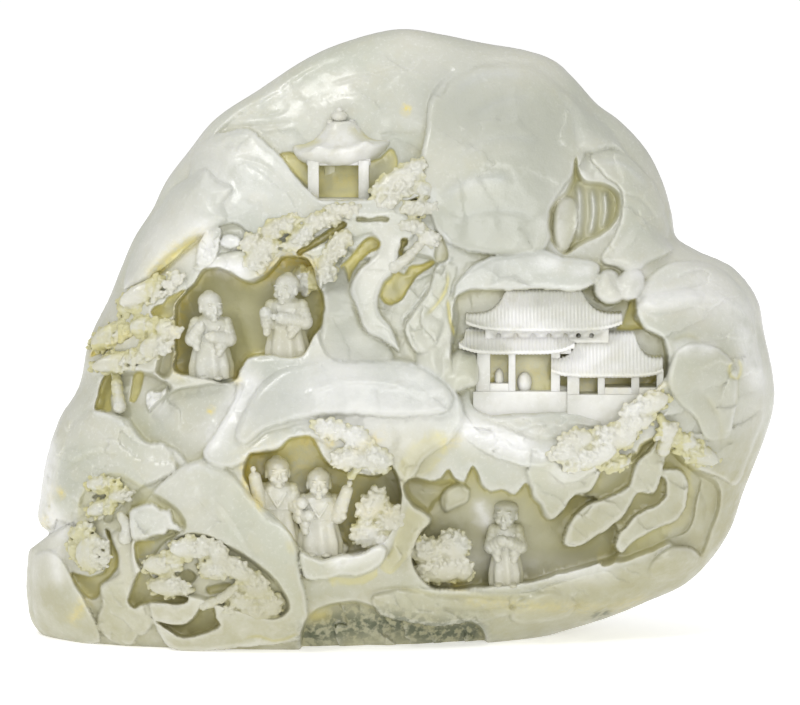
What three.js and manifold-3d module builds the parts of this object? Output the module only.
// A jade boulder carving: one river boulder of pale nephrite, worked in deep relief with a mountain
// landscape. Hills, grottoes, pines, a round pavilion, a hall with its side gallery and five small figures
// are all cut from the same stone.
// Millimetres, +Z up. The front faces -Y, and the origin is on the ground under the middle of the boulder.
import * as THREE from "three";
import { mergeVertices } from "three/addons/utils/BufferGeometryUtils.js";
import { TessellateModifier } from "three/addons/modifiers/TessellateModifier.js";
import Module from "manifold-3d";

const wasm = await Module();
wasm.setup();

// Driving sizes
const BOULDER_WIDTH = 249;
const FRONT_BULGE_FOOT = 47; // how far the front swells from the rim near the ground
const FRONT_BULGE_TOP = 25; // and near the summit
const BACK_BULGE_FOOT = 38;
const BACK_BULGE_TOP = 19;
const SIGHT_TILT = THREE.MathUtils.degToRad(8); // the relief is laid out as seen from so far above level
const FACETS = 9600; // facets left on the finished carving
const GROUND_TOLERANCE = 0.001;
const ROCK_THICKNESS = 18; // how deep a rock's root runs into the boulder
const FIGURE_HEIGHT = 28;
const HALL_DEPTH = 16;
const GALLERY_DEPTH = 14;
const PAVILION_DEPTH = 14;
const EAVES = 3; // how far a roof stands out
const COLUMN_WIDTH = 2.8;
const LIMB_SIDES = 5;
const LIMB_STEP = 9;
const CLUMP_THICKNESS = 10;
const CLUMP_CORNERS = 8;
const CLUMP_LOBES = 3;
const FRONT_FACET = 30; // longest side of a facet on a rock face
const BACK_FACET = 40;
const RIM_STEP = 15;
const FRONT_OUTLINE_STEP = 9; // distance between the corners of a rock's outline
const BACK_OUTLINE_STEP = 16;
const HOLLOW_REACH = 90; // how far out a hollow's cut runs, clear of the boulder
const CLUMP_EDGE = 1.5; // how far a clump's edge lies below its crown

// Shares that shape the stone
const SWELL_POWER = 2.6; // how squarely the boulder's swell falls off to its rim
const RELIEF_FADE = 0.5; // the relief grows flatter where the swell is below this share
const CLUMP_WAVE = 0.1; // how far a clump's outline waves in and out
const CLUMP_CROWN = 0.6; // width of a clump's crown

// Merging of facets
const EVENNESS = 1e-6; // small cost of a long merged edge, so that flat places merge evenly
const SMALLEST_FACET = 1e-4; // area
const LEAST_COSINE = 0.3; // a facet may turn no further than this when a corner moves
const PASSES = 8; // one pass merges at most this fraction of the edges

// The plan is drawn in plan units, right and down from its top left corner, as the front is seen.
const PLAN_WIDTH = 747;
const PLAN_MIDDLE = 400;
const PLAN_GROUND = 635;
const PLAN_SUMMIT = 31;
const UNIT = BOULDER_WIDTH / PLAN_WIDTH;

// The boulder's rim. It runs on below the ground, where the boulder is sawn off flat.
const RIM = [
  [86, 668], [58, 646], [34, 629], [27, 600], [27, 572], [31, 550], [46, 544], [50, 533], [39, 524],
  [41, 495], [48, 455], [60, 420], [79, 388], [87, 350], [94, 330], [109, 300], [121, 270], [134, 240],
  [153, 210], [168, 180], [191, 150], [216, 120], [261, 90], [308, 60], [342, 45], [400, 31], [440, 36],
  [484, 45], [528, 53], [553, 62], [570, 77], [596, 105], [620, 123], [645, 150], [661, 181], [670, 211],
  [676, 238], [694, 251], [733, 270], [757, 301], [764, 335], [773, 378], [774, 405], [766, 435],
  [756, 462], [743, 495], [731, 530], [715, 556], [688, 583], [650, 601], [612, 617], [540, 640],
  [470, 668], [400, 698], [300, 706], [180, 700],
];

// Rocks stand proud of the skin and hollows are sunk below it. The two depths are those at the outline's
// top and foot.
const FRONT_RELIEF = [
  { name: "sky wall", sunk: [0, 7], outline: [[214, 134], [262, 98], [345, 55], [440, 60], [456, 74],
    [434, 100], [430, 150], [408, 180], [395, 205], [340, 215], [290, 215], [240, 200], [206, 165]] },
  { name: "right peak", proud: [1, 4], outline: [[425, 200], [428, 150], [426, 128], [431, 102], [446, 86],
    [480, 68], [530, 68], [562, 92], [586, 125], [582, 160], [565, 185], [550, 210], [549, 240],
    [540, 253], [500, 255], [462, 262], [440, 238]] },
  { name: "right ridge", proud: [2, 4], outline: [[588, 158], [612, 152], [638, 168], [656, 190],
    [663, 215], [667, 236], [648, 258], [612, 268], [598, 262], [610, 240], [620, 215], [618, 192],
    [602, 178]] },
  { name: "waterfall cave", sunk: [8, 8], outline: [[574, 158], [582, 180], [602, 184], [618, 195],
    [618, 218], [603, 236], [582, 246], [563, 256], [550, 246], [545, 222], [552, 203], [566, 188]] },
  { name: "pine hollow", sunk: [9, 9], outline: [[318, 262], [345, 248], [372, 258], [402, 252], [440, 262],
    [447, 285], [428, 318], [442, 350], [432, 368], [396, 362], [330, 358]] },
  { name: "left hill", proud: [2, 4], outline: [[186, 186], [196, 152], [210, 138], [246, 131], [262, 147],
    [286, 178], [306, 200], [330, 212], [345, 222], [300, 232], [262, 242], [238, 226], [205, 236],
    [165, 270], [138, 285], [132, 262], [152, 217]] },
  { name: "left foothill", proud: [4, 5], outline: [[154, 220], [172, 190], [191, 178], [208, 170],
    [219, 181], [235, 192], [226, 206], [236, 224], [205, 234], [170, 260], [150, 278], [126, 290],
    [133, 252]] },
  { name: "pavilion ledge", proud: [1, 4], outline: [[326, 203], [372, 199], [386, 186], [410, 178],
    [432, 188], [436, 205], [400, 216], [345, 219]] },
  { name: "upper grotto", sunk: [15, 15], outline: [[177, 371], [176, 330], [178, 304], [197, 283],
    [210, 268], [228, 270], [248, 281], [266, 275], [282, 258], [298, 256], [315, 270], [324, 292],
    [326, 310], [323, 328], [311, 346], [304, 356], [250, 358], [241, 378], [215, 380], [195, 376]] },
  { name: "inner peak", proud: [-5, -1], outline: [[337, 262], [347, 285], [362, 312], [376, 335],
    [394, 352], [394, 366], [316, 366], [322, 330], [327, 295]] },
  { name: "left recess", sunk: [6, 6], outline: [[104, 402], [114, 376], [140, 370], [168, 374], [176, 400],
    [172, 440], [150, 446], [126, 420]] },
  { name: "stream bed", sunk: [5, 5], outline: [[150, 412], [180, 392], [240, 366], [238, 400], [216, 436],
    [206, 458], [190, 463], [180, 452], [160, 442]] },
  { name: "left middle hill", proud: [1, 3], outline: [[62, 442], [78, 422], [90, 413], [106, 411],
    [123, 420], [138, 430], [150, 446], [166, 443], [178, 452], [180, 466], [160, 480], [140, 490],
    [120, 508], [90, 522], [60, 520], [50, 500], [54, 460]] },
  { name: "hall niche", sunk: [10, 10], outline: [[454, 300], [470, 288], [600, 288], [628, 300],
    [658, 328], [660, 400], [622, 428], [560, 436], [480, 432], [456, 398], [450, 350]] },
  { name: "niche hood", proud: [2, 5], outline: [[452, 288], [461, 268], [490, 256], [530, 253], [560, 249],
    [590, 257], [610, 272], [602, 286], [560, 289], [500, 291], [472, 298], [458, 312]] },
  { name: "right hill", proud: [3, 5], outline: [[622, 292], [640, 275], [668, 264], [700, 262], [730, 277],
    [750, 306], [756, 340], [763, 380], [763, 418], [748, 456], [736, 484], [716, 476], [690, 468],
    [655, 460], [625, 446], [612, 425], [640, 398], [662, 375], [660, 340], [628, 328]] },
  { name: "terrace", proud: [-7, 6], outline: [[452, 392], [470, 400], [482, 412], [560, 412], [600, 408],
    [628, 402], [652, 412], [645, 440], [605, 462], [590, 472], [560, 482], [545, 470], [520, 464],
    [495, 456], [470, 442], [455, 424]] },
  { name: "crag", proud: [-2, 0], outline: [[445, 262], [461, 276], [455, 310], [441, 350], [426, 370],
    [410, 360], [417, 322], [430, 285]] },
  { name: "middle ledge", proud: [-3, 6], outline: [[243, 364], [300, 359], [345, 356], [400, 362],
    [436, 373], [456, 396], [460, 424], [448, 442], [424, 458], [410, 480], [392, 474], [360, 468],
    [335, 448], [318, 437], [300, 438], [270, 448], [250, 456], [238, 466], [215, 462], [206, 452],
    [216, 434], [236, 400]] },
  { name: "great slope", proud: [3, 7], outline: [[176, 470], [190, 461], [207, 458], [226, 465],
    [251, 486], [276, 516], [296, 546], [304, 578], [309, 606], [304, 632], [250, 644], [170, 644],
    [150, 600], [134, 560], [140, 520], [156, 492]] },
  { name: "middle grotto", sunk: [13, 13], outline: [[247, 468], [252, 451], [281, 447], [298, 435],
    [314, 435], [330, 462], [358, 472], [390, 464], [407, 486], [392, 520], [381, 540], [351, 553],
    [320, 554], [300, 546], [284, 526], [263, 503], [249, 482]] },
  { name: "lower brow", sunk: [7, 7], outline: [[566, 500], [580, 478], [600, 462], [640, 436], [672, 428],
    [700, 470], [708, 500], [696, 540], [660, 560], [620, 560], [580, 540]] },
  { name: "lower grotto", sunk: [15, 15], outline: [[409, 480], [430, 470], [446, 478], [458, 484],
    [467, 466], [479, 486], [496, 492], [515, 488], [524, 478], [531, 504], [546, 520], [561, 512],
    [569, 498], [584, 500], [600, 530], [612, 548], [600, 570], [560, 577], [530, 585], [480, 588],
    [440, 592], [410, 585], [398, 545], [418, 520], [426, 505], [412, 494]] },
  { name: "foot hollow", sunk: [8, 8], outline: [[305, 660], [309, 612], [350, 592], [372, 600], [400, 612],
    [480, 624], [484, 660]] },
  { name: "foot ledge", proud: [0, 3], outline: [[392, 608], [420, 594], [470, 588], [520, 592], [562, 580],
    [612, 568], [650, 558], [680, 550], [688, 562], [660, 588], [638, 602], [612, 610], [560, 602],
    [505, 614], [440, 624], [402, 619]] },
  { name: "grotto sill", proud: [4, 5], outline: [[302, 550], [325, 559], [360, 556], [383, 541],
    [390, 552], [376, 569], [346, 577], [320, 582], [304, 578]] },
  { name: "lower pine hollow", sunk: [1, 1], outline: [[74, 566], [92, 522], [130, 504], [152, 540],
    [182, 545], [202, 560], [188, 588], [242, 600], [232, 616], [150, 620], [110, 604], [86, 590]] },
  { name: "left foot rock", proud: [3, 5], outline: [[32, 575], [36, 555], [46, 549], [63, 558], [79, 581],
    [93, 611], [101, 640], [62, 642], [38, 628]] },
];
const BACK_RELIEF = [
  { name: "back far ridge", proud: [0.5, 3], outline: [[206, 232], [262, 196], [300, 148], [338, 128],
    [372, 150], [420, 190], [446, 168], [486, 134], [530, 150], [580, 196], [640, 262], [722, 318],
    [742, 400], [700, 500], [640, 560], [400, 600], [160, 590], [84, 500], [110, 380], [140, 300]] },
  { name: "back near ridge", proud: [0.5, 4], outline: [[96, 372], [150, 322], [208, 300], [262, 330],
    [318, 400], [356, 430], [398, 404], [440, 372], [500, 300], [560, 278], [622, 300], [690, 356],
    [740, 400], [716, 490], [640, 570], [400, 612], [150, 604], [72, 520]] },
  { name: "back foot ridge", proud: [0.5, 4], outline: [[70, 500], [140, 468], [210, 486], [290, 540],
    [372, 520], [440, 470], [510, 452], [590, 480], [660, 530], [640, 584], [520, 616], [380, 640],
    [240, 648], [110, 630], [60, 580]] },
];

// Clumps of pine needles and leaves: [middle across, middle down, half length, half width, turn in
// degrees, depth]. A positive depth stands proud of the skin.
const FRONT_FOLIAGE = [
  [150, 303, 46, 15, 32, 4], [128, 338, 40, 11, 24, 3], [134, 362, 44, 12, 14, 3],
  [168, 345, 14, 12, 0, 3], [268, 244, 33, 12, 45, 3], [300, 240, 45, 12, 37, 4],
  [320, 256, 32, 9, 60, 2], [404, 186, 32, 12, 28, 5], [422, 216, 24, 12, 20, 2],
  [420, 242, 22, 16, 10, 1], [342, 426, 30, 14, -8, 6], [362, 456, 29, 13, 6, 6],
  [380, 514, 34, 19, 48, 2], [437, 560, 28, 30, 0, -3], [618, 408, 32, 11, 24, 6],
  [588, 440, 44, 16, 14, 6], [674, 450, 42, 15, -12, 6], [155, 517, 28, 15, -8, 8],
  [112, 547, 24, 14, 48, 3], [116, 508, 22, 8, 24, 3], [196, 546, 28, 10, 4, 8],
  [222, 572, 36, 13, 8, 8], [186, 580, 26, 13, 0, 7], [246, 600, 34, 14, 4, 8],
];
const BACK_FOLIAGE = [
  [330, 262, 46, 19, 18, 4], [286, 306, 42, 17, -12, 3],
];

// Trunks, branches and falling water: points [across, down, depth] and the radius at each end.
const FRONT_LIMBS = [
  { name: "middle pine trunk", points: [[398, 352, -7], [380, 322, -4], [370, 298, -2], [379, 277, 0],
    [402, 262, 0], [422, 246, 0] ], radii: [3.2, 2.4] },
  { name: "middle pine branch", points: [[379, 277, -1], [398, 240, 0], [378, 218, 1], [345, 205, 2] ],
    radii: [2.6, 2] },
  { name: "lower left trunk", points: [[112, 632, 3], [134, 604, 5], [144, 575, 6], [149, 548, 6],
    [140, 528, 5], [124, 514, 3] ], radii: [4, 1.8] },
  { name: "lower left bough", points: [[140, 618, 5], [180, 603, 7], [212, 600, 7], [234, 580, 7] ], radii:
    [2.8, 1.6] },
  { name: "right lower bough", points: [[566, 538, 0], [588, 512, 2], [622, 492, 3], [648, 468, 4],
    [668, 444, 5] ], radii: [4.4, 2.4] },
  { name: "right lower limb", points: [[612, 554, -2], [636, 524, 0], [664, 510, 1], [676, 492, 2],
    [664, 476, 3], [640, 474, 3] ], radii: [4, 2.6] },
  { name: "left pine stem", points: [[118, 392, -2], [108, 420, -1] ], radii: [1.6, 2] },
  { name: "second left stem", points: [[150, 385, -3], [142, 425, -1] ], radii: [1.6, 2] },
  { name: "first fall", points: [[578, 186, -4], [577, 244, -5] ], radii: [1.5, 1.5] },
  { name: "second fall", points: [[592, 188, -4], [592, 238, -5] ], radii: [1.3, 1.3] },
  { name: "third fall", points: [[606, 190, -4], [605, 230, -5] ], radii: [1.3, 1.3] },
];
const BACK_LIMBS = [
  { name: "back pine trunk", points: [[352, 430, -1], [340, 370, 2], [318, 320, 3], [330, 268, 2] ], radii:
    [4, 2.4] },
];

// The figures: feet on the plan, depth, height as a share of FIGURE_HEIGHT, sideways lean as a share of
// the height, width of the robe, and the two hands as [across, up] in shares of the height.
const FIGURES = [
  { name: "left elder", foot: [213, 377], depth: -8, tall: 1, lean: 0, broad: 0.95,
    hands: [[-0.2, 0.7], [0, 0.55]] },
  { name: "right elder", foot: [289, 362], depth: -8, tall: 1.02, lean: -0.02, broad: 0.95,
    hands: [[-0.28, 0.62], [-0.05, 0.55]] },
  { name: "left visitor", foot: [279, 542], depth: -6, tall: 1.02, lean: 0, broad: 0.95,
    hands: [[-0.26, 0.82], [0.28, 0.52]] },
  { name: "right visitor", foot: [320, 552], depth: -5, tall: 1, lean: 0, broad: 0.95,
    hands: [[-0.12, 0.5], [0.33, 0.8]] },
  { name: "lone walker", foot: [505, 583], depth: -6, tall: 1, lean: 0, broad: 0.9,
    hands: [[-0.06, 0.56], [0.08, 0.56]] },
];

// A point of the plan at a depth y, in space
function place(across, down, y) {
  const x = (across - PLAN_MIDDLE) * UNIT;
  const sight = (PLAN_GROUND - down) * UNIT;
  return new THREE.Vector3(x, y, (sight - y * Math.sin(SIGHT_TILT)) / Math.cos(SIGHT_TILT));
}

function smoothOutline(corners, step) {
  const points = corners.map(([across, down]) => new THREE.Vector3(across, -down, 0));
  const curve = new THREE.CatmullRomCurve3(points, true, "centripetal");
  const count = Math.max(8, Math.round((curve.getLength() * UNIT) / step));
  const outline = curve.getSpacedPoints(count).slice(0, -1).map((p) => new THREE.Vector2(p.x, p.y));
  return THREE.ShapeUtils.isClockWise(outline) ? outline.reverse() : outline;
}

// The rim in polar form about its middle, for the swell of the skin
const CORE = new THREE.Vector2(400, -340);
const RIM_POLAR = smoothOutline(RIM, 1)
  .map((p) => ({ angle: Math.atan2(p.y - CORE.y, p.x - CORE.x), radius: p.distanceTo(CORE) }))
  .sort((a, b) => a.angle - b.angle);

function rimRadius(angle) {
  let high = RIM_POLAR.findIndex((p) => p.angle >= angle);
  if (high <= 0) return RIM_POLAR[0].radius;
  const [a, b] = [RIM_POLAR[high - 1], RIM_POLAR[high]];
  return THREE.MathUtils.mapLinear(angle, a.angle, b.angle, a.radius, b.radius);
}

// Broad swellings of the front: [across, down, reach, height]
const FRONT_SWELLS = [
  [230, 560, 130, 5], [690, 370, 90, 7], [340, 410, 90, 4], [540, 440, 80, 5], [500, 160, 90, 4],
];
const BACK_SWELLS = [[250, 450, 120, 6], [620, 330, 100, 5]];

function swell(across, down, swells) {
  return swells.reduce((sum, [sx, sy, reach, height]) => {
    const distance2 = (across - sx) ** 2 + (down - sy) ** 2;
    return sum + height * Math.exp(-distance2 / (reach * reach));
  }, 0);
}

// The depth of a surface that lies proud of the skin, in front (side -1) or behind (side 1). Both end at
// the rim.
function skin(across, down, side, proud = 0) {
  const offset = new THREE.Vector2(across - CORE.x, -down - CORE.y);
  const share = Math.min(1, offset.length() / rimRadius(Math.atan2(offset.y, offset.x)));
  const dome = Math.sqrt(1 - share ** SWELL_POWER);
  const height = THREE.MathUtils.clamp((PLAN_GROUND - down) / (PLAN_GROUND - PLAN_SUMMIT), 0, 1);
  const [foot, top] = side < 0 ? [FRONT_BULGE_FOOT, FRONT_BULGE_TOP] : [BACK_BULGE_FOOT, BACK_BULGE_TOP];
  const swells = swell(across, down, side < 0 ? FRONT_SWELLS : BACK_SWELLS);
  const bulge = dome * (THREE.MathUtils.lerp(foot, top, height) + swells);
  return side * (bulge + proud * Math.min(1, dome / RELIEF_FADE));
}

function solid(points, faces) {
  const geometry = new THREE.BufferGeometry();
  const positions = points.flatMap((p) => p.toArray());
  geometry.setAttribute("position", new THREE.Float32BufferAttribute(positions, 3));
  geometry.setIndex(faces.flat());
  return solidOf(geometry);
}

function solidOf(geometry) {
  geometry.deleteAttribute("normal");
  geometry.deleteAttribute("uv");
  const merged = mergeVertices(geometry, 1e-3);
  const triVerts = new Uint32Array(merged.index.array);
  const vertProperties = merged.attributes.position.array;
  const made = new wasm.Manifold(new wasm.Mesh({ numProp: 3, vertProperties, triVerts }));
  if (made.volume() > 0) return made;
  return new wasm.Manifold(new wasm.Mesh({ numProp: 3, vertProperties, triVerts: triVerts.reverse() }));
}

// A closed skin over rings of equal count, with a flat or pointed cap at each end
function loft(rings) {
  const count = rings[0].length;
  const faces = [];
  for (let r = 0; r + 1 < rings.length; r += 1) {
    for (let i = 0; i < count; i += 1) {
      const [a, b] = [r * count + i, r * count + ((i + 1) % count)];
      faces.push([a, b, b + count], [a, b + count, a + count]);
    }
  }
  const points = rings.flat();
  const ends = [[rings[0], 0, true], [rings.at(-1), (rings.length - 1) * count, false]];
  for (const [ring, first, flip] of ends) {
    const middle = points.length;
    points.push(ring.reduce((sum, p) => sum.add(p), new THREE.Vector3()).divideScalar(count));
    for (let i = 0; i < count; i += 1) {
      const [a, b] = [first + i, first + ((i + 1) % count)];
      faces.push(flip ? [b, a, middle] : [a, b, middle]);
    }
  }
  return solid(points, faces);
}

function boulder() {
  const rim = smoothOutline(RIM, RIM_STEP);
  const shares = [0.4, 0.7, 0.88, 0.97];
  const ring = (share, side) => rim.map((p) => {
    const at = CORE.clone().lerp(p, share);
    return place(at.x, -at.y, skin(at.x, -at.y, side));
  });
  const front = shares.map((share) => ring(share, -1));
  const back = shares.toReversed().map((share) => ring(share, 1));
  return loft([...front, ring(1, -1), ...back]);
}

// A slab whose face follows the skin: face() gives the depth of its face and far() that of its other side
function slab(outline, face, far, facet) {
  const lay = (level) => outline.map((p) => new THREE.Vector3(p.x, p.y, level));
  const count = outline.length;
  const triangles = THREE.ShapeUtils.triangulateShape(outline, []);
  const faces = [...triangles, ...triangles.map(([a, b, c]) => [a + count, c + count, b + count])];
  for (let i = 0; i < count; i += 1) {
    const next = (i + 1) % count;
    faces.push([i, i + count, next + count], [i, next + count, next]);
  }
  const flat = new THREE.BufferGeometry();
  const points = [...lay(0), ...lay(1)];
  flat.setAttribute("position", new THREE.Float32BufferAttribute(points.flatMap((p) => p.toArray()), 3));
  flat.setIndex(faces.flat());
  const fine = new TessellateModifier(facet / UNIT, 12).modify(flat);
  const position = fine.attributes.position;
  for (let i = 0; i < position.count; i += 1) {
    const [across, down] = [position.getX(i), -position.getY(i)];
    const y = THREE.MathUtils.lerp(face(across, down), far(across, down), position.getZ(i));
    position.setXYZ(i, ...place(across, down, y));
  }
  return solidOf(fine);
}

// A rock or a hollow of the relief, on the front (side -1) or the back (side 1)
function reliefSlab({ proud, sunk, outline: corners }, side) {
  const [step, facet] = side < 0 ? [FRONT_OUTLINE_STEP, FRONT_FACET] : [BACK_OUTLINE_STEP, BACK_FACET];
  const outline = smoothOutline(corners, step);
  const downs = corners.map(([, down]) => down);
  const [top, foot] = [Math.min(...downs), Math.max(...downs)];
  const [atTop, atFoot] = proud ?? sunk.map((depth) => -depth);
  const face = (across, down) => {
    const depth = THREE.MathUtils.mapLinear(down, top, foot, atTop, atFoot);
    return skin(across, down, side, depth);
  };
  if (sunk) return slab(outline, face, () => side * HOLLOW_REACH, facet);
  return slab(outline, face, (across, down) => face(across, down) - side * ROCK_THICKNESS, facet);
}

function clump([across, down, halfLength, halfWidth, turn, depth], side) {
  const angle = THREE.MathUtils.degToRad(turn);
  const middle = new THREE.Vector2(across, -down);
  const ring = (share, height) => Array.from({ length: CLUMP_CORNERS }, (_, i) => {
    const t = (i / CLUMP_CORNERS) * 2 * Math.PI;
    const reach = share * (1 + CLUMP_WAVE * Math.cos(CLUMP_LOBES * t + across));
    const p = new THREE.Vector2(halfLength * reach * Math.cos(t), halfWidth * reach * Math.sin(t))
      .rotateAround(new THREE.Vector2(), angle).add(middle);
    return place(p.x, -p.y, skin(p.x, -p.y, side, height));
  });
  return loft([ring(1, depth - CLUMP_THICKNESS), ring(1, depth - CLUMP_EDGE), ring(CLUMP_CROWN, depth)]);
}

function limb({ points, radii }, side) {
  const path = new THREE.CatmullRomCurve3(points.map(([across, down, depth]) =>
    place(across, down, skin(across, down, side, depth))));
  const steps = Math.max(2, Math.round(path.getLength() / LIMB_STEP));
  const frames = path.computeFrenetFrames(steps);
  const rings = [];
  for (let s = 0; s <= steps; s += 1) {
    const middle = path.getPointAt(s / steps);
    const radius = THREE.MathUtils.lerp(radii[0], radii[1], s / steps);
    rings.push(Array.from({ length: LIMB_SIDES }, (_, i) => {
      const angle = (i / LIMB_SIDES) * 2 * Math.PI;
      return middle.clone()
        .addScaledVector(frames.normals[s], radius * Math.cos(angle))
        .addScaledVector(frames.binormals[s], radius * Math.sin(angle));
    }));
  }
  return loft(rings);
}

function ellipsoid(middle, radii, columns = 7, rows = 5) {
  const ball = new THREE.SphereGeometry(1, columns, rows);
  ball.scale(...radii);
  ball.translate(...middle);
  return solidOf(ball);
}

// A figure's shape in shares of its height: the robe's [up, half width, half depth], the head's radii, the
// arm's radii at shoulder, elbow and hand, and the places [across, out, up] of the joints
const ROBE = [
  [0, 0.2, 0.15], [0.16, 0.23, 0.16], [0.38, 0.18, 0.15], [0.56, 0.22, 0.15], [0.67, 0.21, 0.13],
  [0.76, 0.09, 0.09],
];
const ROBE_SIDES = 7;
const HEAD = [0.115, 0.11, 0.15];
const HEAD_AT = [0, -0.02, 0.84];
const ARM = [0.07, 0.08, 0.055];
const ARM_SIDES = 4;
const SHOULDER = [0.15, 0, 0.64];
const ELBOW = [0.2, -0.08, 0.47];
const HAND_OUT = -0.17;

function figure({ foot, depth, tall, lean, broad, hands }) {
  const height = FIGURE_HEIGHT * tall;
  const stand = place(...foot, skin(...foot, -1) - depth);
  const at = (x, y, z) => new THREE.Vector3(x + lean * z, y, z).multiplyScalar(height).add(stand);
  const rings = ROBE.map(([z, halfWidth, halfDepth]) => Array.from({ length: ROBE_SIDES }, (_, i) => {
    const angle = (i / ROBE_SIDES) * 2 * Math.PI;
    return at(halfWidth * broad * Math.cos(angle), halfDepth * Math.sin(angle), z);
  }));
  const head = ellipsoid(at(...HEAD_AT).toArray(), HEAD.map((r) => r * height));
  const arms = hands.map(([x, z], i) => {
    const way = (i ? 1 : -1) * broad;
    const joint = ([across, out, up]) => at(way * across, out, up);
    const path = new THREE.CatmullRomCurve3([joint(SHOULDER), joint(ELBOW), at(x, HAND_OUT, z)]);
    const frames = path.computeFrenetFrames(2);
    return loft(ARM.map((share, s) => Array.from({ length: ARM_SIDES }, (_, k) => {
      const angle = (k / ARM_SIDES) * 2 * Math.PI;
      const radius = share * height;
      return path.getPoint(s / 2).addScaledVector(frames.normals[s], radius * Math.cos(angle))
        .addScaledVector(frames.binormals[s], radius * Math.sin(angle));
    })));
  });
  return [loft(rings), head, ...arms];
}

// A curved roof: eaves at the foot and a ridge on top. Its widths and height are in plan units.
function roof({ middle, halfWidth, halfRidge, halfDepth, height, lift }) {
  const sides = 3;
  const side = Array.from({ length: sides }, (_, i) => -1 + (2 * i) / sides);
  const ring = [...side.map((t) => [t, -1]), ...side.map((t) => [1, t]), ...side.map((t) => [-t, 1]),
    ...side.map((t) => [-1, -t])];
  const levels = [[-0.16, 0.97], [0, 1], [0.4, 0.54], [1, 0.14]];
  return loft(levels.map(([z, spread]) => ring.map(([a, b]) => {
    const corner = Math.abs(a * b) ** 3 * lift * Math.max(0, spread - 0.4);
    const x = a * (halfRidge + (halfWidth - halfRidge) * spread);
    return new THREE.Vector3(x, 0, z * height + corner).multiplyScalar(UNIT)
      .add(middle).add(new THREE.Vector3(0, b * halfDepth * spread, 0));
  })));
}

function block(low, high) {
  const size = high.clone().sub(low);
  const box = new THREE.BoxGeometry(size.x, size.y, size.z);
  box.translate(...low.clone().add(high).multiplyScalar(0.5).toArray());
  return solidOf(box);
}

function column(across, top, foot, y) {
  const [high, low] = [place(across, top, y), place(across, foot, y)];
  const half = COLUMN_WIDTH / 2;
  const back = new THREE.Vector3(high.x + half, y + COLUMN_WIDTH, high.z);
  return block(new THREE.Vector3(low.x - half, y, low.z), back);
}

// A wall or a floor between two corners of the plan
function wall([left, foot], [right, top], front, back) {
  return block(place(left, foot, front).setY(front), place(right, top, front).setY(back));
}

function roundPavilion() {
  const y = skin(342, 160, -1) - 1;
  const middle = place(344, 160, y + PAVILION_DEPTH / 2);
  const finial = place(340, 124, y + PAVILION_DEPTH / 2);
  const finialRadius = 8 * UNIT;
  const halfDepth = PAVILION_DEPTH / 2 + EAVES;
  return [
    roof({ middle, halfWidth: 47, halfRidge: 5, halfDepth, height: 38, lift: 13 }),
    ellipsoid(finial.toArray(), [finialRadius, finialRadius, 1.2 * finialRadius]),
    ...[317, 365].map((across) => column(across, 164, 206, y)),
    column(338, 164, 206, y + PAVILION_DEPTH / 2),
    wall([306, 170], [376, 158], y + 1, y + PAVILION_DEPTH),
    wall([312, 212], [372, 203], y - 1, y + PAVILION_DEPTH),
  ];
}

function hall() {
  const y = skin(540, 350, -1);
  const upper = place(541, 326, y + HALL_DEPTH / 2);
  const lower = place(533, 352, y + HALL_DEPTH / 2 - 1);
  const upperDepth = HALL_DEPTH / 2;
  const lowerDepth = upperDepth + EAVES / 2;
  return [
    roof({ middle: upper, halfWidth: 76, halfRidge: 39, halfDepth: upperDepth, height: 36, lift: 8 }),
    roof({ middle: lower, halfWidth: 80, halfRidge: 66, halfDepth: lowerDepth, height: 21, lift: 7 }),
    wall([470, 346], [606, 326], y + 2, y + HALL_DEPTH),
    ...[487, 512, 556].map((across) => column(across, 352, 412, y + 1)),
    column(480, 352, 412, y + HALL_DEPTH / 2),
    wall([475, 424], [572, 400], y - 1, y + HALL_DEPTH),
  ];
}

function sideGallery() {
  const y = skin(610, 375, -1) - 2;
  const middle = place(612, 376, y + GALLERY_DEPTH / 2);
  const halfDepth = GALLERY_DEPTH / 2 + EAVES / 2;
  return [
    roof({ middle, halfWidth: 60, halfRidge: 36, halfDepth, height: 42, lift: 6 }),
    ...[568, 596, 628].map((across) => column(across, 376, 422, y + 1)),
    wall([560, 440], [640, 404], y - 1, y + GALLERY_DEPTH),
  ];
}

function groundCut() {
  const reach = BOULDER_WIDTH;
  return block(new THREE.Vector3(-reach, -reach, -reach), new THREE.Vector3(reach, reach, 0));
}

function carve() {
  let stone = boulder();
  for (const [relief, side] of [[FRONT_RELIEF, -1], [BACK_RELIEF, 1]]) {
    for (const feature of relief) {
      const shape = reliefSlab(feature, side);
      stone = feature.sunk ? stone.subtract(shape) : stone.add(shape);
    }
  }
  const details = [
    ...FRONT_LIMBS.map((branch) => limb(branch, -1)),
    ...BACK_LIMBS.map((branch) => limb(branch, 1)),
    ...FRONT_FOLIAGE.map((leaves) => clump(leaves, -1)),
    ...BACK_FOLIAGE.map((leaves) => clump(leaves, 1)),
    ...FIGURES.flatMap(figure),
    ...roundPavilion(),
    ...hall(),
    ...sideGallery(),
  ];
  for (const shape of details) stone = stone.add(shape);
  return stone.subtract(groundCut());
}

function largestBody(stone) {
  return stone.decompose().sort((a, b) => b.volume() - a.volume())[0];
}

// The squared distance to a set of planes, as the ten terms of a symmetric 4 x 4 form
function planeForm(normal, offset, weight) {
  const plane = [normal.x, normal.y, normal.z, offset];
  return plane.flatMap((a, i) => plane.slice(i).map((b) => weight * a * b));
}

function formAt(form, { x, y, z }) {
  const [xx, xy, xz, xo, yy, yz, yo, zz, zo, oo] = form;
  return xx * x * x + yy * y * y + zz * z * z + 2 * (xy * x * y + xz * x * z + yz * y * z) +
    2 * (xo * x + yo * y + zo * z) + oo;
}

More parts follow.
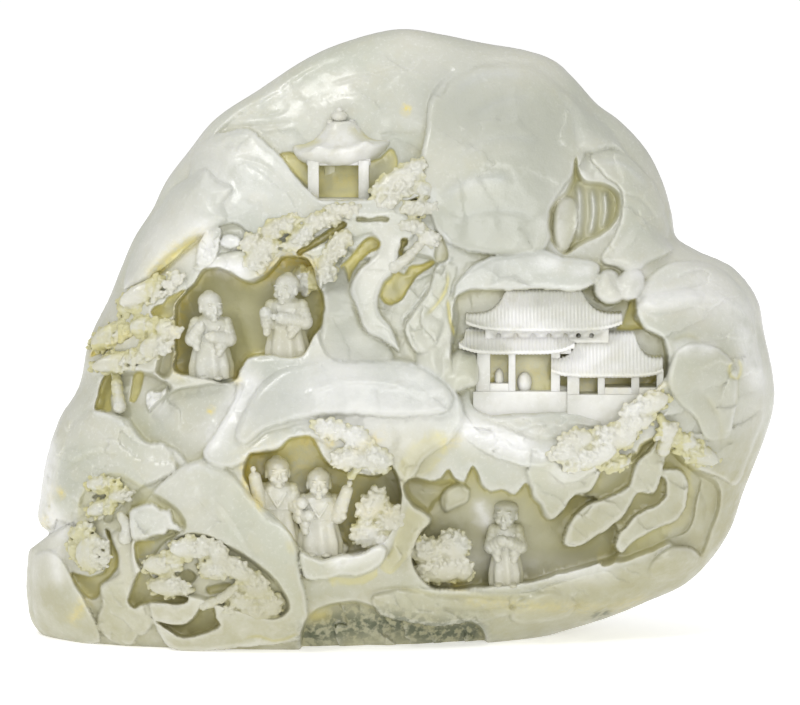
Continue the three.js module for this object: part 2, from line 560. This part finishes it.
// Merges the ends of the edges that matter least to the form until the wanted number of facets is left.
// The surface stays closed: an edge goes only where its ends share two neighbours and no facet turns over.
function mergeFacets(points, facets, wanted) {
  const triangle = new THREE.Triangle();
  const forms = points.map(() => new Array(10).fill(0));
  const around = points.map(() => new Set());
  for (const facet of facets) {
    triangle.set(...facet.map((v) => points[v]));
    const normal = triangle.getNormal(new THREE.Vector3());
    const form = planeForm(normal, -normal.dot(triangle.a), triangle.getArea());
    for (const v of facet) {
      forms[v] = forms[v].map((term, i) => term + form[i]);
      around[v].add(facet);
    }
  }
  const neighbours = (v) => new Set([...around[v]].flat().filter((other) => other !== v));
  const onGround = (v) => points[v].z < GROUND_TOLERANCE;
  const cost = (from, to) => (onGround(from) && !onGround(to) ? Infinity : formAt(forms[from], points[to]) +
    formAt(forms[to], points[to]) + EVENNESS * points[from].distanceToSquared(points[to]));
  const turnsOver = (from, to) => [...around[from]].some((facet) => {
    if (facet.includes(to)) return false;
    const before = triangle.set(...facet.map((v) => points[v])).getNormal(new THREE.Vector3());
    const moved = triangle.set(...facet.map((v) => points[v === from ? to : v]));
    if (moved.getArea() < SMALLEST_FACET) return true;
    return moved.getNormal(new THREE.Vector3()).dot(before) < LEAST_COSINE;
  });
  let left = facets.length;
  while (left > wanted) {
    const edges = [];
    for (const [from, facetsHere] of around.entries()) {
      if (facetsHere.size) for (const to of neighbours(from)) edges.push([cost(from, to), from, to]);
    }
    edges.sort((a, b) => a[0] - b[0]);
    const touched = new Set();
    const before = left;
    for (const [price, from, to] of edges.slice(0, Math.ceil(edges.length / PASSES))) {
      if (left <= wanted || price === Infinity) break;
      if (touched.has(from) || touched.has(to)) continue;
      const far = neighbours(to);
      const shared = [...neighbours(from)].filter((v) => far.has(v));
      if (shared.length !== 2 || turnsOver(from, to)) continue;
      for (const v of [from, to, ...neighbours(from), ...far]) touched.add(v);
      for (const facet of [...around[from]]) {
        if (facet.includes(to)) {
          for (const v of facet) around[v].delete(facet);
          left -= 1;
        } else {
          facet[facet.indexOf(from)] = to;
          around[to].add(facet);
        }
      }
      around[from].clear();
      forms[to] = forms[to].map((term, i) => term + forms[from][i]);
    }
    if (left === before) break;
  }
  return [...new Set(around.flatMap((facetsHere) => [...facetsHere]))];
}

function jadeBoulder() {
  const mesh = largestBody(carve()).getMesh();
  const points = Array.from({ length: mesh.numVert }, (_, v) =>
    new THREE.Vector3().fromArray(mesh.vertProperties, v * mesh.numProp));
  const facets = Array.from({ length: mesh.numTri }, (_, t) => [...mesh.triVerts.slice(3 * t, 3 * t + 3)]);
  const kept = mergeFacets(points, facets, FACETS);
  const loose = new THREE.BufferGeometry().setFromPoints(kept.flat().map((v) => points[v]));
  const geometry = mergeVertices(loose, 1e-5);
  geometry.computeBoundingBox();
  const middle = geometry.boundingBox.getCenter(new THREE.Vector3());
  geometry.translate(-middle.x, -middle.y, 0);
  geometry.computeVertexNormals();
  const nephrite = new THREE.MeshStandardMaterial({ color: 0xdddccb, roughness: 0.3, metalness: 0 });
  const boulderMesh = new THREE.Mesh(geometry, nephrite);
  boulderMesh.name = "jade_boulder";
  return boulderMesh;
}

const carving = new THREE.Group();
carving.add(jadeBoulder());

export default carving;
